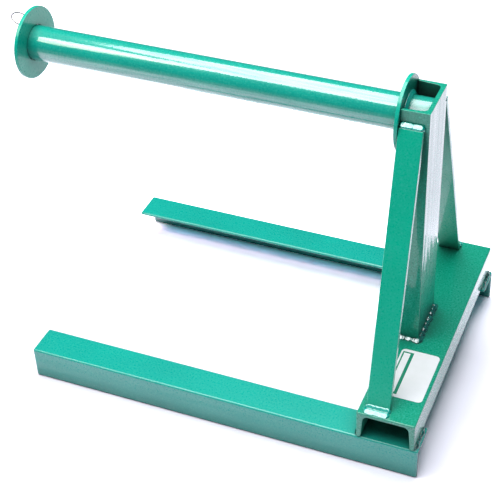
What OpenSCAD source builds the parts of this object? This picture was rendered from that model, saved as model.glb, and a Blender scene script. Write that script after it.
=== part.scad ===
// Cable drum jack: a welded stand with a cantilevered spindle that carries a cable drum.
// Millimetres, Z up, floor at Z = 0. The spindle points to -X and the base channel lies along Y.

/* [Base channel] */
// Length of the base channel
channel_len = 394; // [340:1:460]
// Width across the channel's web
channel_w = 80; // [74:1:100]
// Height of the channel from its toes to its web
channel_h = 45; // [38:1:60]
// Thickness of the channel's web
web_t = 6; // [4:0.5:9]
// Thickness of each flange at half its height
flange_t = 8; // [7:0.5:11]
// Slope of each flange's inner face, in mm per mm of height
flange_slope = 0.08; // [0:0.01:0.1]
// Fillet radius between flange and web
root_r = 8; // [4:0.5:10]
// Rounding radius of each flange's inner toe
toe_r = 3; // [1:0.5:4]

/* [Angle legs] */
// Length of each leg
leg_len = 575; // [450:1:700]
// Height of a leg's upright flange
leg_h = 50; // [40:1:70]
// Width of a leg's flat flange
leg_w = 48; // [40:1:70]
// Thickness of a leg's flanges
leg_t = 5; // [4:0.5:8]
// Fillet radius inside a leg's corner
leg_root_r = 6; // [3:0.5:9]
// How far each leg runs past the channel's back side
leg_past = 5.5; // [4:0.5:12]

/* [Post] */
// Post size along X
post_w = 38; // [36:1:46]
// Post size along Y
post_d = 76; // [73:1:90]
// Thickness of the post's web
post_web = 6; // [4:0.5:8]
// Thickness of each of the post's flanges at half its width
post_flange = 5; // [4.5:0.5:7.5]
// Slope of each flange's inner face, in mm per mm of width
post_slope = 0.08; // [0:0.01:0.1]
// Fillet radius between the post's flanges and web
post_root_r = 7; // [4:0.5:9]
// Rounding radius of each flange's inner toe
post_toe_r = 2; // [1:0.5:2]
// Height of the post above the channel
post_h = 370; // [300:1:460]
// How far the post's spindle side stands past the channel's side
post_over = 2; // [0:0.5:3]

/* [Braces] */
// Width of the flat bar braces
brace_w = 32; // [26:1:36]
// Thickness of the flat bar braces
brace_t = 8; // [5:0.5:10]
// Height of the post's top above the top of the braces
brace_drop = 25; // [16:1:60]
// Distance of a brace's foot from the channel's end
brace_foot = 14; // [12:1:30]
// Front brace's top edge, from the post's spindle side
front_brace_inset = 0; // [0:0.5:4]
// Sideways lean of the front brace from top to foot
front_brace_lean = 11; // [0:0.5:16]
// Rear brace's edge, from the post's spindle side
rear_brace_inset = 6; // [3:0.5:8]

/* [Spindle] */
// Outside diameter of the spindle tube
spindle_od = 48.3; // [40:0.1:50]
// Wall thickness of the spindle tube
spindle_wall = 4; // [2.5:0.1:6]
// Depth of the spindle's axis below the post's top
spindle_drop = 28; // [27.5:0.5:40]
// Clear length for the drum between the two discs
seat_len = 527.5; // [400:0.5:650]
// Length of tube past the retaining pin's axis
tube_past = 8.5; // [7:0.5:14]
// Gap around the tube in the inner disc
slip = 0.15; // [0.1:0.05:0.3]

/* [Discs] */
// Diameter of both discs
disc_d = 100; // [84:1:120]
// Thickness of both discs
disc_t = 5; // [4:0.5:8]
// Radial play of the loose disc on the tube
disc_play = 0.5; // [0.3:0.1:1]

/* [Retaining pin] */
// Diameter of the pin's shank
pin_d = 8; // [6:0.5:10]
// Radial play of the pin in the tube
pin_play = 0.2; // [0.1:0.05:0.4]
// Length of the pin's shank below the tube
pin_past = 9.5; // [6:0.5:16]
// Chamfer of the pin's tip
pin_tip = 1.5; // [0.5:0.5:2.5]
// Width by which the pin's flat head is wider than its shank, each side
head_lip = 1.5; // [1:0.25:3]
// Thickness of the pin's flat head
head_t = 4; // [3:0.5:6]
// Gap between the pin's head and the tube below it
head_gap = 0.2; // [0.1:0.05:0.3]
// Gap between the pin's head and the loose disc
disc_gap = 0.3; // [0.2:0.1:1]
// Diameter of the eye in the pin's head
eye_d = 3.6; // [3.2:0.1:4.5]
// Metal under and over the eye
eye_rim = 1.3; // [1.1:0.1:2.5]

/* [Pull ring] */
// Diameter of the ring along its wire's middle
ring_d = 23; // [20:0.5:30]
// Diameter of the ring's wire
ring_wire = 1.6; // [1.2:0.1:2]
// Angle of the ring above level as it lies
ring_tilt = 28; // [0:1:40]

/* [Label] */
// Width of the label across the web
label_w = 54; // [40:1:60]
// Gap between the label and the channel's back side
label_side_gap = 5; // [3:0.5:12]
// Thickness of the label
label_t = 0.3; // [0.2:0.05:0.6]
// Corner radius of the label
label_r = 6; // [2:0.5:10]
// Gap between the label and the post
label_post_gap = 22; // [12:1:30]
// Gap between the label and the front brace's foot
label_brace_gap = 21.5; // [12:0.5:30]

/* [Welds] */
// Size of the weld beads between legs and channel
leg_bead = 5; // [3:0.5:7]
// How far a leg's bead stops short of the leg's edges
leg_bead_short = 2; // [1:0.5:6]
// Size of the weld bead around the post's base
post_bead = 8; // [3:0.5:10]
// How far the bead around the post's base stops short of the post's toes
post_bead_short = 5; // [3:0.5:10]
// Height of the weld bead over a brace's top
brace_bead = 10; // [8:0.5:14]
// How far the weld in front of a brace's foot stops short of the channel's end
foot_short = 0.5; // [0.5:0.5:5]
// Height of the weld on a brace's foot
foot_rise = 6; // [3:0.5:8]
// Size of the weld ring around the spindle, across the inner disc
ring_rise = 7; // [3:0.5:8]
// Size of the weld ring around the spindle, along the tube
ring_run = 5; // [3:0.5:7]

/* [Hidden] */
$fn = 96;
// Cutting tools run past the metal by this much
over = 1;
// Height of the web's top face
web_z = leg_h + channel_h;
// Height of the post's top
post_top = web_z + post_h;
// Half the channel's length and half its width
half_l = channel_len / 2;
half_w = channel_w / 2;
// Leg ends
leg_x1 = half_w + leg_past;
leg_x0 = leg_x1 - leg_len;
// Post faces
post_x0 = -half_w - post_over;
post_x1 = post_x0 + post_w;
post_y = post_d / 2;
// Brace line in the YZ plane, front side: back edge of the top, front edge of the foot
brace_z = post_top - brace_drop;
foot_y = -half_l + brace_foot;
foot_run = brace_foot - foot_short;
brace_dy = -post_y - foot_y;
brace_dz = brace_z - web_z;
brace_a = atan2(brace_dy, brace_dz) - asin(brace_t / sqrt(brace_dy * brace_dy + brace_dz * brace_dz));
brace_top_y = -post_y - brace_t * cos(brace_a);
brace_top_z = brace_z + brace_t * sin(brace_a);
foot_back_y = foot_y + brace_t / cos(brace_a);
front_top_x = post_x0 + front_brace_inset;
front_foot_x = front_top_x + front_brace_lean;
rear_x = post_x0 + rear_brace_inset;
// Spindle
spindle_r = spindle_od / 2;
spindle_z = post_top - spindle_drop;
inner_disc_x0 = post_x0 - disc_t;
outer_disc_x1 = inner_disc_x0 - seat_len;
outer_disc_x0 = outer_disc_x1 - disc_t;
head_w = pin_d + 2 * head_lip;
pin_x = outer_disc_x0 - disc_gap - head_w / 2;
tube_x0 = pin_x - tube_past;
tube_x1 = post_x1 - post_web;
// Pin head and ring
head_z = spindle_z + spindle_r + head_gap;
eye_z = head_z + eye_rim + eye_d / 2;
ring_r = ring_d / 2;
// Label
label_x1 = half_w - label_side_gap;
label_x0 = label_x1 - label_w;
label_y1 = -post_y - label_post_gap;
label_y0 = foot_back_y + label_brace_gap;
// Whole length, used to centre the model over the origin
x_low = min(pin_x - 2 * ring_r * cos(ring_tilt) - ring_wire / 2, tube_x0, leg_x0);
x_high = leg_x1;
shift_x = -(x_low + x_high) / 2;

module place() {
    translate([shift_x, 0, 0]) children();
}

// Carries a section drawn in XZ along Y
module along_y(y0, y1) {
    translate([0, y1, 0]) rotate([90, 0, 0]) linear_extrude(height = y1 - y0) children();
}

// Carries a section drawn in YZ along X
module along_x(x0, x1) {
    translate([x0, 0, 0]) rotate([90, 0, 90]) linear_extrude(height = x1 - x0) children();
}

// Turns a section drawn as (radius, distance) around the spindle's axis, from x0 towards +X
module around_spindle(x0) {
    translate([x0, 0, spindle_z]) rotate([0, 90, 0]) rotate_extrude() children();
}

module round_rect(w, d, r) {
    union() {
        translate([-w / 2 + r, -d / 2]) square([w - 2 * r, d]);
        translate([-w / 2, -d / 2 + r]) square([w, d - 2 * r]);
        for (sx = [-1, 1], sy = [-1, 1])
            translate([sx * (w / 2 - r), sy * (d / 2 - r)]) circle(r = r);
    }
}

// Section of a taper flange channel lying across X, toes at y = 0 and the web on top
module channel_section(w, h, web, flange, slope, root, toe) {
    top = h - web;
    toe_x = w / 2 - (flange - slope * h / 2);
    tilt = atan(slope);
    nx = cos(tilt);
    ny = sin(tilt);
    root_y = top - root;
    root_x = toe_x - (root + ny * root_y) / nx;
    cap_x = toe_x + toe * (1 - ny) / nx;
    side = [root_x + root * nx, root_y + root * ny];
    low_x = toe_x + slope * over;
    difference() {
        translate([-w / 2, 0]) square([w, h]);
        union() {
            polygon([[-low_x, -over], [low_x, -over], side, [root_x, top], [-root_x, top], [-side[0], side[1]]]);
            for (s = [-1, 1])
                translate([s * root_x, root_y]) circle(r = root);
            for (s = [0, 1])
                mirror([s, 0]) difference() {
                    polygon([[toe_x - over, -over], [cap_x, -over], [cap_x, toe],
                             [cap_x - (toe + over) * nx, toe - (toe + over) * ny]]);
                    translate([cap_x, toe]) circle(r = toe);
                }
        }
    }
}

module base_channel() {
    color("seagreen") place() along_y(-half_l, half_l) translate([0, leg_h])
        channel_section(channel_w, channel_h, web_t, flange_t, flange_slope, root_r, toe_r);
}

// Leg section: outer face at y = 0, flat flange on top pointing to +Y
module leg_section() {
    union() {
        square([leg_t, leg_h]);
        translate([0, leg_h - leg_t]) square([leg_w, leg_t]);
        translate([leg_t, leg_h - leg_t - leg_root_r]) difference() {
            square([leg_root_r, leg_root_r]);
            translate([leg_root_r, 0]) circle(r = leg_root_r);
        }
    }
}

module front_leg() {
    color("seagreen") place() translate([0, -half_l, 0]) along_x(leg_x0, leg_x1) leg_section();
}

module rear_leg() {
    color("seagreen") place() mirror([0, 1, 0]) translate([0, -half_l, 0]) along_x(leg_x0, leg_x1) leg_section();
}

// Channel standing on its end, its open side towards the spindle
module post() {
    color("mediumseagreen") place() translate([post_x0, 0, web_z]) linear_extrude(height = post_h) rotate(-90)
        channel_section(post_d, post_w, post_web, post_flange, post_slope, post_root_r, post_toe_r);
}

// One brace on the front side, from its edge at the top to its edge at the foot
module brace(top_x, foot_x) {
    ext = brace_t;
    run = (top_x - foot_x) / (brace_top_z - web_z);
    low_x = foot_x - run * ext;
    high_x = top_x + run * ext;
    intersection() {
        along_x(min(low_x, high_x) - over, max(low_x, high_x) + brace_w + over)
            polygon([[brace_top_y, brace_top_z], [foot_y, web_z], [foot_back_y, web_z], [-post_y, brace_z]]);
        along_y(foot_y - over, -post_y + over)
            polygon([[low_x, web_z - ext], [low_x + brace_w, web_z - ext],
                     [high_x + brace_w, brace_top_z + ext], [high_x, brace_top_z + ext]]);
    }
}

module front_brace() {
    color("lightseagreen") place() brace(front_top_x, front_foot_x);
}

module rear_brace() {
    color("lightseagreen") place() mirror([0, 1, 0]) brace(rear_x, rear_x);
}

module spindle_tube() {
    color("mediumaquamarine") place() difference() {
        translate([tube_x0, 0, spindle_z]) rotate([0, 90, 0]) cylinder(r = spindle_r, h = tube_x1 - tube_x0);
        translate([tube_x0 - over, 0, spindle_z]) rotate([0, 90, 0])
            cylinder(r = spindle_r - spindle_wall, h = tube_x1 - tube_x0 + 2 * over);
        translate([pin_x, 0, spindle_z - spindle_r - over])
            cylinder(r = pin_d / 2 + pin_play, h = spindle_od + 2 * over);
    }
}

module disc(x0, bore_r) {
    difference() {
        translate([x0, 0, spindle_z]) rotate([0, 90, 0]) cylinder(r = disc_d / 2, h = disc_t);
        translate([x0 - over, 0, spindle_z]) rotate([0, 90, 0]) cylinder(r = bore_r, h = disc_t + 2 * over);
    }
}

module inner_disc() {
    color("seagreen") place() disc(inner_disc_x0, spindle_r + slip);
}

module outer_disc() {
    color("teal") place() disc(outer_disc_x0, spindle_r + disc_play);
}

// Shank, chamfered tip and flat head with an eye along Y
module retaining_pin() {
    low = spindle_z - spindle_r - pin_past;
    head_top = eye_d + 2 * eye_rim;
    round_r = head_top / 2;
    color("silver") place() translate([pin_x, 0, 0]) union() {
        translate([0, 0, low]) cylinder(r1 = pin_d / 2 - pin_tip, r2 = pin_d / 2, h = pin_tip);
        translate([0, 0, low + pin_tip]) cylinder(d = pin_d, h = head_z - low - pin_tip);
        translate([0, head_t / 2, 0]) rotate([90, 0, 0]) linear_extrude(height = head_t) difference() {
            union() {
                translate([-head_w / 2, head_z]) square([head_w, head_top - round_r]);
                translate([-head_w / 2 + round_r, head_z]) square([head_w - 2 * round_r, head_top]);
                for (s = [-1, 1])
                    translate([s * (head_w / 2 - round_r), head_z + head_top - round_r]) intersection() {
                        circle(r = round_r);
                        translate([-round_r, 0]) square([2 * round_r, round_r]);
                    }
            }
            translate([0, eye_z]) circle(d = eye_d);
        }
    }
}

module pull_ring() {
    color("gainsboro") place() translate([pin_x, 0, eye_z]) rotate([0, ring_tilt, 0])
        translate([-ring_r, 0, 0]) rotate_extrude() translate([ring_r, 0]) circle(d = ring_wire, $fn = 32);
}

module label() {
    color("white") place() translate([(label_x0 + label_x1) / 2, (label_y0 + label_y1) / 2, web_z])
        linear_extrude(height = label_t) round_rect(label_w, label_y1 - label_y0, label_r);
}

// Section of a slightly full fillet weld in a square corner
module bead(a, b) {
    polygon([[0, 0], [a, 0], [0.85 * a, 0.36 * b], [0.62 * a, 0.62 * b], [0.36 * a, 0.85 * b], [0, b]]);
}

// Bead on the front leg along the channel's side at half_w
module leg_weld(a) {
    along_y(-half_l + leg_bead_short, -half_l + leg_w - leg_bead_short) translate([half_w, leg_h]) bead(a, a);
}

module weld_front_leg_left() {
    color("darkcyan") place() mirror([1, 0, 0]) leg_weld(leg_bead);
}

module weld_front_leg_right() {
    color("darkcyan") place() leg_weld(min(leg_bead, leg_past));
}

module weld_rear_leg_left() {
    color("darkcyan") place() mirror([0, 1, 0]) mirror([1, 0, 0]) leg_weld(leg_bead);
}

module weld_rear_leg_right() {
    color("darkcyan") place() mirror([0, 1, 0]) leg_weld(min(leg_bead, leg_past));
}

// Bead on the front, back side and rear of the post's base, open on the spindle side
module weld_post_base() {
    start_x = post_x0 + post_bead_short;
    color("darkcyan") place() translate([0, 0, web_z]) union() {
        for (s = [0, 1]) mirror([0, s, 0]) {
            translate([start_x, -post_y, 0]) rotate([90, 0, 90]) linear_extrude(height = post_x1 - start_x)
                mirror([1, 0]) bead(post_bead, post_bead);
            translate([post_x1, -post_y, 0]) rotate([0, 0, -90]) rotate_extrude(angle = 90)
                bead(post_bead, post_bead);
        }
        translate([post_x1, post_y, 0]) rotate([90, 0, 0]) linear_extrude(height = post_d) bead(post_bead, post_bead);
    }
}

// Bead in the notch between a brace's square top and the post
module brace_top_weld(top_x) {
    along_x(top_x + over, top_x + brace_w - over)
        polygon([[-post_y, brace_z], [brace_top_y, brace_top_z],
                 [brace_top_y + 0.35 * (-post_y - brace_top_y), brace_top_z + 0.6 * (brace_z + brace_bead - brace_top_z)],
                 [-post_y, brace_z + brace_bead]]);
}

module weld_front_brace_top() {
    color("darkcyan") place() brace_top_weld(front_top_x);
}

module weld_rear_brace_top() {
    color("darkcyan") place() mirror([0, 1, 0]) brace_top_weld(rear_x);
}

// Two passes of weld on the web in front of a brace's foot, the second one low and wide
module brace_foot_weld(foot_x) {
    along_x(foot_x, foot_x + brace_w)
        polygon([[foot_y, web_z], [foot_y + foot_rise * sin(brace_a), web_z + foot_rise * cos(brace_a)],
                 [foot_y - 0.16 * foot_run, web_z + 0.8 * foot_rise],
                 [foot_y - 0.34 * foot_run, web_z + 0.36 * foot_rise],
                 [foot_y - 0.48 * foot_run, web_z + 0.58 * foot_rise],
                 [foot_y - 0.82 * foot_run, web_z + 0.34 * foot_rise],
                 [foot_y - foot_run, web_z]]);
}

module weld_front_brace_foot() {
    color("darkcyan") place() brace_foot_weld(front_foot_x);
}

module weld_rear_brace_foot() {
    color("darkcyan") place() mirror([0, 1, 0]) brace_foot_weld(rear_x);
}

// Ring of weld around the tube on the inner disc, in the post's open side
module weld_spindle_inside() {
    color("darkcyan") place() around_spindle(post_x0) translate([spindle_r, 0]) bead(ring_rise, ring_run);
}

base_channel();
front_leg();
rear_leg();
post();
front_brace();
rear_brace();
spindle_tube();
inner_disc();
outer_disc();
retaining_pin();
pull_ring();
label();
weld_front_leg_left();
weld_front_leg_right();
weld_rear_leg_left();
weld_rear_leg_right();
weld_post_base();
weld_front_brace_top();
weld_rear_brace_top();
weld_front_brace_foot();
weld_rear_brace_foot();
weld_spindle_inside();
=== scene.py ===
"""Cable drum jack: a welded steel stand with a fixed spindle, painted gloss green.

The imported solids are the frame. Every steel piece is dressed from its solid with
eased edges, every weld is modelled as a rippled bead, and the finishes are procedural.
"""
import math
import random

import bpy
from mathutils import Matrix, Vector


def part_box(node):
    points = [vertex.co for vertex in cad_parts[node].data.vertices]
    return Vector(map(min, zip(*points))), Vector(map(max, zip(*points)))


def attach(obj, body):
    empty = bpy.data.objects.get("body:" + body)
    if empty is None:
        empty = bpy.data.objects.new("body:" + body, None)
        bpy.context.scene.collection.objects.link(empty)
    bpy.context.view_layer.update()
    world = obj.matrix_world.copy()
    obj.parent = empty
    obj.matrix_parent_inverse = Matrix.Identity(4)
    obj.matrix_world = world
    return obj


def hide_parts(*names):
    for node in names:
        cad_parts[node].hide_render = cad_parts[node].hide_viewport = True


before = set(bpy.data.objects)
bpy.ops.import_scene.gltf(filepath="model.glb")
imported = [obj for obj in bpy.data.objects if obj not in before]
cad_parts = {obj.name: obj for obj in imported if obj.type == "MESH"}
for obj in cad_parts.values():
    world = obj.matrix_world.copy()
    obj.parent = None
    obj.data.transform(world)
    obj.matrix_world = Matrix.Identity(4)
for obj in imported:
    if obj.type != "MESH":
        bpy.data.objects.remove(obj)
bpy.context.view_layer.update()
bpy.ops.object.select_all(action="DESELECT")

MM = 0.001
scene = bpy.context.scene
scene.view_settings.view_transform = "Standard"


# Small helpers

def linear(code):
    """An sRGB hex colour as linear RGBA."""
    parts = [int(code[i:i + 2], 16) / 255 for i in (1, 3, 5)]
    return (*[p / 12.92 if p <= 0.04045 else ((p + 0.055) / 1.055) ** 2.4 for p in parts], 1.0)


def put(tree, kind, inputs=None, ramp=None, **settings):
    """Adds one node with its settings; an input is a value or the socket that feeds it."""
    made = tree.nodes.new(kind)
    for name, value in settings.items():
        setattr(made, name, value)
    for name, value in (inputs or {}).items():
        if isinstance(value, bpy.types.NodeSocket):
            tree.links.new(value, made.inputs[name])
        else:
            made.inputs[name].default_value = value
    if ramp:
        for element, (place, colour) in zip(made.color_ramp.elements, ramp):
            element.position, element.color = place, colour
    return made


def bare_tree(material):
    """The material's node tree, emptied."""
    material.use_nodes = True
    material.node_tree.nodes.clear()
    return material.node_tree


def only(piece):
    """Makes one object the selected and active one."""
    bpy.ops.object.select_all(action="DESELECT")
    piece.select_set(True)
    bpy.context.view_layer.objects.active = piece


def apply_modifier(piece, kind, **settings):
    """Adds a modifier to a piece and applies it."""
    only(piece)
    made = piece.modifiers.new(kind.title(), kind)
    for name, value in settings.items():
        setattr(made, name, value)
    bpy.ops.object.modifier_apply(modifier=made.name)


# Materials

def gloss_enamel(name, streak, streak_depth=0.03 * MM, peel_depth=0.005 * MM, wet=1.0, film=1.5,
                 reach_mm=55, drift_mm=90, tones=("#00AE9B", "#00B8A3")):
    """Gloss alkyd enamel sprayed on mill steel: a deep even green under a wet, mirror-like skin.

    The eye gets fine orange peel, and the long waviness of the rolled or drawn steel below.
    streak is the size in mm of that waviness along x, y and z, and streak_depth its height.
    wet is how full the gloss is, and film the index of its top film, higher where the enamel
    has pooled thick. reach_mm is the width of a hollow that gets painted shade and a matt film,
    and drift_mm the distance over which the green drifts between its two tones.
    """
    material = bpy.data.materials.new(name)
    tree = bare_tree(material)
    where = put(tree, "ShaderNodeTexCoord").outputs["Object"]
    # The film's thickness drifts, which shifts the green.
    clouds = put(tree, "ShaderNodeTexNoise",
                 {"Vector": where, "Scale": 1 / (drift_mm * MM), "Detail": 3.0})
    tone = put(tree, "ShaderNodeValToRGB", {"Fac": clouds.outputs["Fac"]},
               ramp=[(0.30, linear(tones[0])), (0.70, linear(tones[1]))])
    # Lighter specks: painted glints of the orange peel, drawn at 2.5 mm so that they show.
    specks = put(tree, "ShaderNodeTexNoise", {"Vector": where, "Scale": 1 / (2.5 * MM), "Detail": 2.0})
    painted_glint_mask = put(tree, "ShaderNodeValToRGB", {"Fac": specks.outputs["Fac"]},
                     ramp=[(0.52, (0, 0, 0, 1)), (0.72, (0.7, 0.7, 0.7, 1))])
    with_painted_glints = put(tree, "ShaderNodeMix", {0: painted_glint_mask.outputs["Color"], 6: tone.outputs["Color"],
                                           7: linear("#39C5A9")}, data_type="RGBA")
    # Painted shade: in narrow hollows and corners, where other surfaces lie close, the green is darkened towards
    # near-black.
    reach = put(tree, "ShaderNodeAmbientOcclusion", {"Distance": reach_mm * MM}, samples=8)
    painted_shade_and_matt = put(tree, "ShaderNodeMapRange", {"Value": reach.outputs["AO"], "From Min": 0.15, "From Max": 0.82,
                                            "To Min": 0.95, "To Max": 0.0})
    colour = put(tree, "ShaderNodeMix", {0: painted_shade_and_matt.outputs["Result"], 6: with_painted_glints.outputs[2],
                                         7: linear("#061A1A")}, data_type="RGBA")
    # There the film is made matt as well.
    sprayed = put(tree, "ShaderNodeMapRange",
                  {"Value": specks.outputs["Fac"], "To Min": 0.22, "To Max": 0.36})
    rough = put(tree, "ShaderNodeMath", {0: painted_shade_and_matt.outputs["Result"], 1: 0.4, 2: sprayed.outputs["Result"]},
                operation="MULTIPLY_ADD")
    full = put(tree, "ShaderNodeMath", {0: 1.0, 1: painted_shade_and_matt.outputs["Result"]}, operation="SUBTRACT")
    # Orange peel, real cells 1 to 2 mm, drawn at 2.2 mm, and the steel's own long waves.
    peel = put(tree, "ShaderNodeTexNoise", {"Vector": where, "Scale": 1 / (2.2 * MM), "Detail": 1.0})
    stretched = put(tree, "ShaderNodeMapping", {"Vector": where, "Scale": [1 / (s * MM) for s in streak]})
    waves = put(tree, "ShaderNodeTexNoise",
                {"Vector": stretched.outputs["Vector"], "Scale": 1.0, "Detail": 1.0})
    fine = put(tree, "ShaderNodeBump",
               {"Strength": 1.0, "Distance": peel_depth, "Height": peel.outputs["Fac"]})
    relief = put(tree, "ShaderNodeBump", {"Strength": 1.0, "Distance": streak_depth,
                                          "Height": waves.outputs["Fac"], "Normal": fine.outputs["Normal"]})
    # The gloss is fuller on the crests of those waves.
    crests = put(tree, "ShaderNodeMapRange", {"Value": waves.outputs["Fac"], "From Min": 0.35, "From Max": 0.6,
                                              "To Min": 0.65 * wet, "To Max": wet})
    gloss = put(tree, "ShaderNodeMath", {0: crests.outputs["Result"], 1: full.outputs[0]}, operation="MULTIPLY")
    skin = put(tree, "ShaderNodeBsdfPrincipled", {
        "Base Color": colour.outputs[2], "Roughness": rough.outputs[0], "IOR": 1.5,
        "Coat Weight": gloss.outputs[0], "Coat Roughness": 0.05, "Coat IOR": film,
        "Normal": relief.outputs["Normal"], "Coat Normal": relief.outputs["Normal"]})
    put(tree, "ShaderNodeOutputMaterial", {"Surface": skin.outputs["BSDF"]})
    return material


def zinc_plate():
    """Zinc electroplate on a turned steel pin: bright blue-grey, with fine turning marks and duller patches."""
    material = bpy.data.materials.new("zinc_plated_steel")
    tree = bare_tree(material)
    where = put(tree, "ShaderNodeTexCoord").outputs["Object"]
    # Patches of duller plate, about 6 mm across.
    patches = put(tree, "ShaderNodeTexNoise", {"Vector": where, "Scale": 1 / (6 * MM), "Detail": 3.0})
    tone = put(tree, "ShaderNodeValToRGB", {"Fac": patches.outputs["Fac"]},
               ramp=[(0.35, linear("#A9AFB4")), (0.65, linear("#D3D7DA"))])
    rough = put(tree, "ShaderNodeMapRange", {"Value": patches.outputs["Fac"], "To Min": 0.2, "To Max": 0.42})
    # Turning marks round the shank, 0.4 mm apart along it and 25 mm long round it.
    turned = put(tree, "ShaderNodeMapping",
                 {"Vector": where, "Scale": (1 / (25 * MM), 1 / (25 * MM), 1 / (0.4 * MM))})
    marks = put(tree, "ShaderNodeTexNoise", {"Vector": turned.outputs["Vector"], "Scale": 1.0})
    relief = put(tree, "ShaderNodeBump",
                 {"Strength": 0.6, "Distance": 0.02 * MM, "Height": marks.outputs["Fac"]})
    skin = put(tree, "ShaderNodeBsdfPrincipled", {
        "Base Color": tone.outputs["Color"], "Metallic": 1.0, "Roughness": rough.outputs["Result"],
        "Normal": relief.outputs["Normal"]})
    put(tree, "ShaderNodeOutputMaterial", {"Surface": skin.outputs["BSDF"]})
    return material


def bright_wire():
    """Nickel-plated spring wire: a hard dark mirror with light rubbing marks, about 1.5 mm across."""
    material = bpy.data.materials.new("nickel_plated_wire")
    tree = bare_tree(material)
    where = put(tree, "ShaderNodeTexCoord").outputs["Object"]
    rubs = put(tree, "ShaderNodeTexNoise", {"Vector": where, "Scale": 1 / (1.5 * MM), "Detail": 3.0})
    tone = put(tree, "ShaderNodeValToRGB", {"Fac": rubs.outputs["Fac"]},
               ramp=[(0.35, linear("#5C5C58")), (0.6, linear("#96968F"))])
    rough = put(tree, "ShaderNodeMapRange", {"Value": rubs.outputs["Fac"], "To Min": 0.1, "To Max": 0.26})
    relief = put(tree, "ShaderNodeBump",
                 {"Strength": 0.4, "Distance": 0.01 * MM, "Height": rubs.outputs["Fac"]})
    skin = put(tree, "ShaderNodeBsdfPrincipled", {
        "Base Color": tone.outputs["Color"], "Metallic": 1.0, "Roughness": rough.outputs["Result"],
        "Normal": relief.outputs["Normal"]})
    put(tree, "ShaderNodeOutputMaterial", {"Surface": skin.outputs["BSDF"]})
    return material


def label_film(corner, far_corner):
    """White vinyl film, die cut: an even satin white with a plain green outlined box printed along one side."""
    material = bpy.data.materials.new("white_vinyl_film")
    tree = bare_tree(material)
    where = put(tree, "ShaderNodeTexCoord").outputs["Object"]
    spot = put(tree, "ShaderNodeSeparateXYZ", {"Vector": where})
    # The printed box by its left, right, front and back edges, and its lines' widths at those edges.
    printed = (corner.x + 2.5 * MM, corner.x + 18 * MM, corner.y + 5 * MM, far_corner.y - 5 * MM)
    widths = (2 * MM, -4.5 * MM, 4 * MM, -2.5 * MM)
    inside = [edge + width for edge, width in zip(printed, widths)]
    masks = []
    for x0, x1, y0, y1 in (printed, inside):
        across = put(tree, "ShaderNodeMath", {0: spot.outputs["X"], 1: (x0 + x1) / 2, 2: (x1 - x0) / 2},
                     operation="COMPARE")
        along = put(tree, "ShaderNodeMath", {0: spot.outputs["Y"], 1: (y0 + y1) / 2, 2: (y1 - y0) / 2},
                    operation="COMPARE")
        masks.append(put(tree, "ShaderNodeMath", {0: across.outputs[0], 1: along.outputs[0]},
                         operation="MULTIPLY").outputs[0])
    ink = put(tree, "ShaderNodeMath", {0: masks[0], 1: masks[1]}, operation="SUBTRACT")
    # A faint haze of handling, in clouds of 14 mm.
    haze = put(tree, "ShaderNodeTexNoise", {"Vector": where, "Scale": 1 / (14 * MM), "Detail": 4.0})
    white = put(tree, "ShaderNodeValToRGB", {"Fac": haze.outputs["Fac"]},
                ramp=[(0.3, linear("#F8F9F8")), (0.7, linear("#FDFDFD"))])
    colour = put(tree, "ShaderNodeMix", {0: ink.outputs[0], 6: white.outputs["Color"], 7: linear("#0B8F6C")},
                 data_type="RGBA")
    rough = put(tree, "ShaderNodeMapRange", {"Value": haze.outputs["Fac"], "To Min": 0.35, "To Max": 0.5})
    # The film follows the paint below, in ripples about 8 mm apart.
    ripples = put(tree, "ShaderNodeTexNoise", {"Vector": where, "Scale": 1 / (8 * MM)})
    relief = put(tree, "ShaderNodeBump",
                 {"Strength": 0.5, "Distance": 0.03 * MM, "Height": ripples.outputs["Fac"]})
    skin = put(tree, "ShaderNodeBsdfPrincipled", {
        "Base Color": colour.outputs[2], "Roughness": rough.outputs["Result"], "IOR": 1.46,
        "Normal": relief.outputs["Normal"]})
    put(tree, "ShaderNodeOutputMaterial", {"Surface": skin.outputs["BSDF"]})
    return material


# The one green enamel has its two tones set piece by piece, lighter on some and darker on others: painted light
# and shade, for how the light falls on each piece.
enamel_along_x = gloss_enamel("gloss_enamel_on_rolled_angle", (220, 9, 9))
enamel_along_y = gloss_enamel("gloss_enamel_on_rolled_channel", (9, 220, 9), peel_depth=0.002 * MM,
                              tones=("#009A78", "#00A380"))
enamel_along_z = gloss_enamel("gloss_enamel_on_upright_channel", (11, 11, 300), streak_depth=0.6 * MM,
                              peel_depth=0.002 * MM, tones=("#009779", "#00A180"))
enamel_on_tube = gloss_enamel("gloss_enamel_on_drawn_tube", (60, 3, 3), streak_depth=0.04 * MM,
                              peel_depth=0.07 * MM, film=2.2, tones=("#00AB94", "#00B59C"))
enamel_on_plate = gloss_enamel("gloss_enamel_on_flat_bar", (30, 30, 30), tones=("#00B992", "#00C39B"))
enamel_on_disc = gloss_enamel("thin_gloss_enamel_on_disc", (30, 30, 30), wet=0.4, tones=("#00B497", "#00BF9F"))
enamel_on_weld = gloss_enamel("gloss_enamel_on_weld_bead", (4, 4, 4), streak_depth=0.1 * MM, film=2.2, reach_mm=5)
# Dark blotches on the beads in the corners under the channel and at the post's foot: weld slag, and painted shade
# where these beads sit.
enamel_on_slag_and_shade = gloss_enamel("enamel_on_weld_slag_with_painted_shade", (4, 4, 4), streak_depth=0.1 * MM, film=2.2,
                              reach_mm=5, drift_mm=7, tones=("#01231F", "#008A78"))
zinc = zinc_plate()
wire = bright_wire()
vinyl = label_film(*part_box("label"))


# Steel pieces: a merged copy of each solid, with the sharp arrises eased as paint and handling leave them

MERGE = 0.002 * MM
FLAT_ANGLE = math.radians(0.4)
ARRIS_ANGLE = math.radians(35)


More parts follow.
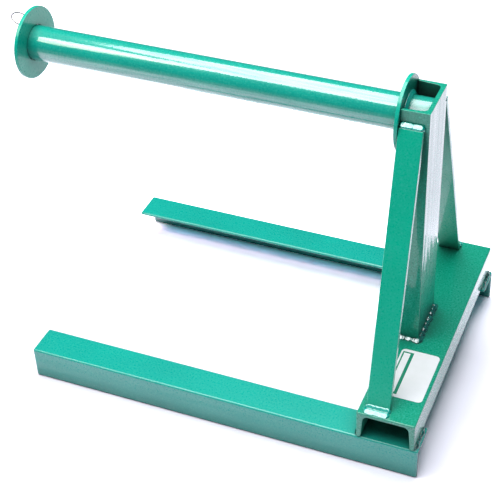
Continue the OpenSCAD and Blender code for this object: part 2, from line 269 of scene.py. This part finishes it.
def dressed(node, name, body, material, ease, flat=True):
    """Puts an eased and painted copy in a solid's place; flat keeps the large faces' shading flat."""
    piece = bpy.data.objects.new(name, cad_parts[node].data.copy())
    scene.collection.objects.link(piece)
    only(piece)
    bpy.ops.mesh.customdata_custom_splitnormals_clear()
    bpy.ops.object.mode_set(mode="EDIT")
    bpy.ops.mesh.select_all(action="SELECT")
    bpy.ops.mesh.remove_doubles(threshold=MERGE)
    bpy.ops.mesh.dissolve_limited(angle_limit=FLAT_ANGLE)
    bpy.ops.object.mode_set(mode="OBJECT")
    if ease:
        apply_modifier(piece, "BEVEL", width=ease, segments=3, limit_method="ANGLE",
                       angle_limit=ARRIS_ANGLE, use_clamp_overlap=False)
    only(piece)
    bpy.ops.object.shade_smooth_by_angle(angle=ARRIS_ANGLE)
    if flat:
        apply_modifier(piece, "WEIGHTED_NORMAL", keep_sharp=True)
    piece.data.materials.clear()
    piece.data.materials.append(material)
    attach(piece, body)
    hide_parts(node)


dressed("base_channel", "painted_base_channel", "stand", enamel_along_y, 1.8 * MM)
dressed("front_leg", "painted_front_leg", "stand", enamel_along_x, 3.0 * MM)
dressed("rear_leg", "painted_rear_leg", "stand", enamel_along_x, 3.0 * MM)
dressed("post", "painted_post", "stand", enamel_along_z, 0.6 * MM)
dressed("front_brace", "painted_front_brace", "stand", enamel_on_plate, 0.9 * MM)
dressed("rear_brace", "painted_rear_brace", "stand", enamel_on_plate, 0.9 * MM)
dressed("spindle_tube", "painted_spindle_tube", "stand", enamel_on_tube, 0.6 * MM)
dressed("inner_disc", "painted_inner_disc", "stand", enamel_on_disc, 0.7 * MM)
dressed("outer_disc", "painted_outer_disc", "end_disc", enamel_on_disc, 0.7 * MM)
dressed("retaining_pin", "turned_retaining_pin", "pin", zinc, 0.25 * MM, flat=False)
dressed("pull_ring", "wire_pull_ring", "ring", wire, 0.0, flat=False)
dressed("label", "vinyl_label", "stand", vinyl, 0.0)


# Welds: one ripple, a quarter ball with a flattened face, laid over and over along each seam

PITCH = 3.0 * MM           # from one ripple to the next
OVERLAP = 2.0              # half the length of a ripple, in pitches
SINK = 0.08                # how far its two flats lie inside the plates, as a share of its size
FACE = 0.59                # where its round face is cut flat
VOXEL = 0.6 * MM           # the grid on which a bead's ripples run together
FILL = 0.94                # the share of a solid bead's legs that the ripples take up
SHORT_SWELL = 12 * MM      # a lumpy bead swells over these two lengths at once
LONG_SWELL = 19.7 * MM
JITTER = 0.06              # the chance part of a ripple's size
LAP = 1.5 * PITCH          # how far a seam runs past a corner

bpy.ops.mesh.primitive_uv_sphere_add(segments=20, ring_count=12, radius=1.0)
ripple = bpy.context.object
bpy.ops.object.mode_set(mode="EDIT")
for plate in ((0, 1, 0), (0, 0, 1)):
    bpy.ops.mesh.select_all(action="SELECT")
    bpy.ops.mesh.bisect(plane_co=[-SINK * p for p in plate], plane_no=plate, use_fill=True, clear_inner=True)
bpy.ops.mesh.select_all(action="SELECT")
bpy.ops.mesh.bisect(plane_co=(0, FACE, FACE), plane_no=(0, 1, 1), use_fill=True, clear_outer=True)
bpy.ops.object.mode_set(mode="OBJECT")


def lay_bead(name, node, stations, seed, lumps=0.06, finish=enamel_on_weld):
    """Lays ripples at the stations and runs them together into one bead, in a solid bead's place.

    A station is a point, the direction of travel, and the toes on the two plates as vectors
    from the point. lumps is how much the bead shrinks between its swells.
    """
    rng = random.Random(seed)
    laid = []
    for count, (point, travel, toe_a, toe_b) in enumerate(stations):
        run = count * PITCH * math.tau
        waves = 0.3 * math.sin(run / SHORT_SWELL) + 0.2 * math.sin(run / LONG_SWELL)
        swell = 1 - lumps * (0.5 - waves) + rng.uniform(-JITTER, JITTER)
        along = travel.normalized() * PITCH * OVERLAP
        if along.cross(toe_a).dot(toe_b) < 0:
            along = -along
        shape = Matrix.Identity(4)
        for column, axis in enumerate((along, toe_a * swell, toe_b * swell, point)):
            for row in range(3):
                shape[row][column] = axis[row]
        lump = bpy.data.objects.new(name, ripple.data.copy())
        lump.data.transform(shape)
        scene.collection.objects.link(lump)
        laid.append(lump)
    bead = laid[0]
    only(bead)
    for lump in laid:
        lump.select_set(True)
    bpy.ops.object.join()
    bead.name = name
    apply_modifier(bead, "REMESH", mode="VOXEL", voxel_size=VOXEL)
    apply_modifier(bead, "SMOOTH", factor=0.5, iterations=2)
    only(bead)
    bpy.ops.object.shade_smooth()
    bead.data.materials.clear()
    bead.data.materials.append(finish)
    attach(bead, "stand")
    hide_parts(node)


def straight(start, end, toe_a, toe_b, short=0.9):
    """Stations along a straight seam, short of each end by that share of half a ripple's length."""
    run = end - start
    reach = PITCH * OVERLAP * short
    count = max(2, round((run.length - 2 * reach) / PITCH))
    return [(start + run.normalized() * (reach + (run.length - 2 * reach) * i / count), run, toe_a, toe_b)
            for i in range(count + 1)]


# Across both ends of each leg, under the channel's flanges. These beads are lumpy, and their dark blotchy enamel
# is slag and partly painted shade.
LUMPY = 0.4
for leg in ("front", "rear"):
    for side, way in (("left", -1), ("right", 1)):
        low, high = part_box(f"weld_{leg}_leg_{side}")
        x = low.x if way > 0 else high.x
        lay_bead(f"weld_bead_{leg}_leg_{side}", f"weld_{leg}_leg_{side}",
                 straight(Vector((x, low.y, low.z)), Vector((x, high.y, low.z)),
                          Vector((way * (high.x - low.x) * FILL, 0, 0)), Vector((0, 0, (high.z - low.z) * FILL))),
                 seed=len(leg) * 7 + way, lumps=LUMPY, finish=enamel_on_slag_and_shade)

# Round three sides of the post's foot, turning its two square corners. This bead is low and wide, with the same
# dark blotchy enamel, slag and partly painted shade.
FOOT_RISE = 0.55
CORNER_STEPS = 4
low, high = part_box("weld_post_base")
post_low, post_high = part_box("post")
foot_out = (high.x - post_high.x) * FILL
foot_up = Vector((0, 0, (high.z - low.z) * FOOT_RISE))
sides = []
for way in (-1, 1):
    y = way * post_high.y
    side = straight(Vector((low.x, y, low.z)), Vector((post_high.x + LAP, y, low.z)),
                    Vector((0, way * foot_out, 0)), foot_up)
    for step in range(1, CORNER_STEPS):
        angle = math.radians(90 * step / CORNER_STEPS)
        out = Vector((math.sin(angle), way * math.cos(angle), 0))
        side.append((Vector((post_high.x, y, low.z)), Vector((out.y, -out.x, 0)), out * foot_out, foot_up))
    sides.append(side)
right = straight(Vector((post_high.x, post_low.y - LAP, low.z)), Vector((post_high.x, post_high.y + LAP, low.z)),
                 Vector((foot_out, 0, 0)), foot_up)
lay_bead("weld_bead_post_base", "weld_post_base", sides[0] + right + sides[1][::-1],
         seed=11, lumps=LUMPY, finish=enamel_on_slag_and_shade)

# Brace tops and feet, mirrored front to back.
# A foot has a round pass at the brace and a low wide one out to the channel's end.
BRACE_LEAN = 0.395         # how far a brace leans, per unit of height
TOP_RISE = 0.84
BRACE_SHORT = 0.65
ROUND_RUN, GROOVE, WIDE_RUN, WIDE_RISE = 0.34, 0.36, 0.62, 0.58
for brace, way in (("front", -1), ("rear", 1)):
    low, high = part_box(f"weld_{brace}_brace_top")
    seam_y = post_high.y * way
    depth = high.y - low.y
    lay_bead(f"weld_bead_{brace}_brace_top", f"weld_{brace}_brace_top",
             straight(Vector((low.x, seam_y, low.z)), Vector((high.x, seam_y, low.z)),
                      Vector((0, way * depth, depth * BRACE_LEAN)), Vector((0, 0, (high.z - low.z) * TOP_RISE)),
                      short=BRACE_SHORT),
             seed=21 + way, lumps=0.1)
    low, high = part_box(f"weld_{brace}_brace_foot")
    brace_low, brace_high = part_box(f"{brace}_brace")
    outer_y = low.y if way < 0 else high.y
    seam_y = brace_low.y if way < 0 else brace_high.y
    run, rise = abs(outer_y - seam_y), high.z - low.z
    first = straight(Vector((low.x, seam_y, low.z)), Vector((high.x, seam_y, low.z)),
                     Vector((0, way * run * ROUND_RUN, 0)), Vector((0, -way * BRACE_LEAN, 1.0)) * rise * FILL,
                     short=BRACE_SHORT)
    groove_y = seam_y + way * run * GROOVE
    second = straight(Vector((low.x, groove_y, low.z)), Vector((high.x, groove_y, low.z)),
                      Vector((0, way * run * WIDE_RUN, 0)), Vector((0, 0, rise * WIDE_RISE)),
                      short=BRACE_SHORT)
    lay_bead(f"weld_bead_{brace}_brace_foot", f"weld_{brace}_brace_foot", first + second, seed=31 + way)

# A ring bead on the inner disc, around the tube in the post's open side.
RING_FILL = 0.92
low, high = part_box("weld_spindle_inside")
tube_low, tube_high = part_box("spindle_tube")
tube_r = (tube_high.z - tube_low.z) / 2
axis_z = (tube_high.z + tube_low.z) / 2
ring_run, ring_rise = (high.x - low.x) * RING_FILL, (high.z - axis_z - tube_r) * RING_FILL
around = []
count = round(math.tau * tube_r / PITCH)
for step in range(count):
    angle = math.tau * step / count
    out = Vector((0, math.cos(angle), math.sin(angle)))
    around.append((Vector((low.x, 0, axis_z)) + out * tube_r, Vector((0, -out.z, out.y)),
                   Vector((ring_run, 0, 0)), out * ring_rise))
lay_bead("weld_bead_spindle_inside", "weld_spindle_inside", around, seed=41)
bpy.data.objects.remove(ripple)


# Stage: floor, world, lamps and camera

def white_sheet():
    """Matt white paper on a dim studio floor.

    Where it is seen or mirrored it is as bright as the photograph's overexposed sheet, in gains
    over plain paper that change from place to place. These gains are painted light, which lightens
    the object's shadows on the sheet and the sheet's reflections in the object. The light it
    throws back on the object is that of a pale grey.
    """
    material = bpy.data.materials.new("white_paper_floor")
    tree = bare_tree(material)
    place = put(tree, "ShaderNodeTexCoord").outputs["Object"]
    spot = put(tree, "ShaderNodeSeparateXYZ", {"Vector": place})
    path = put(tree, "ShaderNodeLightPath")
    seen = put(tree, "ShaderNodeMath", {0: path.outputs["Is Camera Ray"], 1: path.outputs["Is Glossy Ray"]},
               operation="MAXIMUM")
    seen = put(tree, "ShaderNodeMath", {0: seen.outputs[0], 1: path.outputs["Is Transmission Ray"]},
               operation="MAXIMUM")
    # Clouds of 50 mm in the paper's white.
    grain = put(tree, "ShaderNodeTexNoise", {"Vector": place, "Scale": 1 / (50 * MM)})
    white = put(tree, "ShaderNodeValToRGB", {"Fac": grain.outputs["Fac"]},
                ramp=[(0.3, linear("#F5F1F9")), (0.7, linear("#FAF6FE"))])
    tone = put(tree, "ShaderNodeMix", {0: seen.outputs[0], 6: linear("#B9C3D2"), 7: white.outputs["Color"]},
               data_type="RGBA")
    # Painted light: the gain is highest in a band behind the object, and even to its left and right, where it
    # lightens the object's shadows and their reflections.
    rising = put(tree, "ShaderNodeMapRange", {"Value": spot.outputs["Y"], "From Min": 0.05, "From Max": 0.15,
                                              "To Min": 1.15, "To Max": 2.3})
    falling = put(tree, "ShaderNodeMapRange", {"Value": spot.outputs["Y"], "From Min": 0.27, "From Max": 0.42,
                                               "To Min": 2.3, "To Max": 1.2})
    band = put(tree, "ShaderNodeMath", {0: rising.outputs["Result"], 1: falling.outputs["Result"]},
               operation="MINIMUM")
    left = put(tree, "ShaderNodeMapRange", {"Value": spot.outputs["X"], "From Min": -0.65, "From Max": -0.4,
                                            "To Min": 1.0, "To Max": 0.0})
    right = put(tree, "ShaderNodeMapRange", {"Value": spot.outputs["X"], "From Min": 0.25, "From Max": 0.4})
    aside = put(tree, "ShaderNodeMath", {0: left.outputs["Result"], 1: right.outputs["Result"]},
                operation="MAXIMUM")
    gain = put(tree, "ShaderNodeMix", {0: aside.outputs[0], 2: band.outputs[0], 3: 1.3}, data_type="FLOAT")
    # The sheet lies mostly behind the object and ends on the dim floor.
    away = put(tree, "ShaderNodeVectorMath", {0: place, 1: (-0.1, 0.55, 0.0)}, operation="DISTANCE")
    ending = put(tree, "ShaderNodeMapRange", {"Value": away.outputs["Value"], "From Min": 1.15, "From Max": 1.8,
                                              "To Min": 1.0, "To Max": 0.2})
    gain = put(tree, "ShaderNodeMath", {0: gain.outputs[0], 1: ending.outputs["Result"]}, operation="MULTIPLY")
    gain = put(tree, "ShaderNodeMix", {0: seen.outputs[0], 2: 1.0, 3: gain.outputs[0]}, data_type="FLOAT")
    tone = put(tree, "ShaderNodeVectorMath", {0: tone.outputs[2], "Scale": gain.outputs[0]}, operation="SCALE")
    # Painted light: a lavender band brightens the floor in the rear leg's shadow, so that the shadow there is
    # narrow and lavender.
    rising = put(tree, "ShaderNodeMapRange", {"Value": spot.outputs["Y"], "From Min": 0.15, "From Max": 0.18})
    rising = put(tree, "ShaderNodeMath", {0: rising.outputs["Result"], 1: 2.5}, operation="POWER")
    falling = put(tree, "ShaderNodeMapRange", {"Value": spot.outputs["Y"], "From Min": 0.181, "From Max": 0.191,
                                               "To Min": 1.0, "To Max": 0.0})
    strip = put(tree, "ShaderNodeMath", {0: rising.outputs[0], 1: falling.outputs["Result"]},
                operation="MINIMUM")
    leg_start = put(tree, "ShaderNodeMapRange", {"Value": spot.outputs["X"], "From Min": -0.29, "From Max": -0.25})
    leg_end = put(tree, "ShaderNodeMapRange", {"Value": spot.outputs["X"], "From Min": 0.19, "From Max": 0.23,
                                               "To Min": 1.0, "To Max": 0.0})
    for limit in (leg_start.outputs["Result"], leg_end.outputs["Result"], seen.outputs[0]):
        strip = put(tree, "ShaderNodeMath", {0: strip.outputs[0], 1: limit}, operation="MULTIPLY")
    lavender = put(tree, "ShaderNodeVectorMath", {0: strip.outputs[0], 1: (1.8, 0.85, 1.4), 2: (1.0, 1.0, 1.0)},
                   operation="MULTIPLY_ADD")
    tone = put(tree, "ShaderNodeVectorMath", {0: tone.outputs["Vector"], 1: lavender.outputs["Vector"]},
               operation="MULTIPLY")
    matt = put(tree, "ShaderNodeBsdfDiffuse", {"Color": tone.outputs["Vector"]})
    # It runs out of the lamps' reach, so its own glow makes up for that away from the object.
    distance = put(tree, "ShaderNodeVectorMath", {0: place}, operation="LENGTH")
    glow = put(tree, "ShaderNodeMapRange", {"Value": distance.outputs["Value"], "From Min": 0.6, "From Max": 1.2,
                                            "To Min": 0.0, "To Max": 0.55})
    glow = put(tree, "ShaderNodeMath", {0: glow.outputs["Result"], 1: ending.outputs["Result"]},
               operation="MULTIPLY")
    glow = put(tree, "ShaderNodeMath", {0: seen.outputs[0], 1: glow.outputs[0]}, operation="MULTIPLY")
    lift = put(tree, "ShaderNodeEmission", {"Color": linear("#FFFFFF"), "Strength": glow.outputs[0]})
    both = put(tree, "ShaderNodeAddShader", {0: matt.outputs[0], 1: lift.outputs[0]})
    # From below the sheet is clear, so that the underside can be looked at.
    below = put(tree, "ShaderNodeNewGeometry").outputs["Backfacing"]
    clear = put(tree, "ShaderNodeBsdfTransparent")
    sided = put(tree, "ShaderNodeMixShader", {0: below, 1: both.outputs[0], 2: clear.outputs[0]})
    put(tree, "ShaderNodeOutputMaterial", {"Surface": sided.outputs[0]})
    return material


bpy.ops.mesh.primitive_plane_add(size=40.0, location=(0, 0, 0))
floor = bpy.context.object
floor.name = "studio_floor"
floor.data.materials.append(white_sheet())

world = bpy.data.worlds.new("dim_studio")
scene.world = world
world.use_nodes = True
sky = world.node_tree.nodes["Background"]
sky.inputs["Color"].default_value = linear("#A4BAE0")
sky.inputs["Strength"].default_value = 0.14


def softbox(name, place, aim, size, power, colour, shape="RECTANGLE"):
    """An area lamp at a place, turned towards aim, with its size in metres and its power in watts."""
    lamp = bpy.data.lights.new(name, "AREA")
    lamp.shape = shape
    lamp.size, lamp.size_y = size
    lamp.energy = power
    lamp.color = linear(colour)[:3]
    holder = bpy.data.objects.new(name, lamp)
    scene.collection.objects.link(holder)
    holder.location = place
    holder.rotation_euler = (Vector(aim) - Vector(place)).to_track_quat("-Z", "Y").to_euler()


# The two overhead lamps hang high, so that low and high pieces are lit alike.
# The strip makes the lower streak on the tube, and the round panel the upper one.
CEILING = 3.05
NEUTRAL, WARM = "#FAFBFF", "#FFF3E2"
softbox("lamp_from_left", (-1.05, -0.70, 1.53), (0.0, 0.0, 0.2), (0.7, 0.5), 5.0, WARM)
softbox("strip_overhead", (-0.40, -1.175, CEILING), (-0.40, -1.175, 0.0), (2.8, 1.05), 53.8, NEUTRAL)
softbox("round_panel_overhead", (-0.21, 0.575, CEILING), (-0.21, 0.575, 0.0), (2.62, 3.0), 101.9, NEUTRAL,
        shape="ELLIPSE")

# The camera was fitted to edges measured in the photograph.
camera = bpy.data.cameras.new("photo_camera")
camera.sensor_width = 36.0
camera.lens = 93.052
camera.shift_x, camera.shift_y = -0.1, -0.025
view = bpy.data.objects.new("photo_camera", camera)
scene.collection.objects.link(view)
elevation, azimuth, roll = math.radians(37.9153), math.radians(21.5704), math.radians(-1.0973)
facing = (Matrix.Rotation(azimuth, 3, "Z") @ Matrix.Rotation(math.pi / 2 - elevation, 3, "X")
          @ Matrix.Rotation(roll, 3, "Z"))
view.location = (0.611238, -1.321318, 1.316656)
view.rotation_euler = facing.to_euler()
scene.camera = view

bpy.context.view_layer.update()
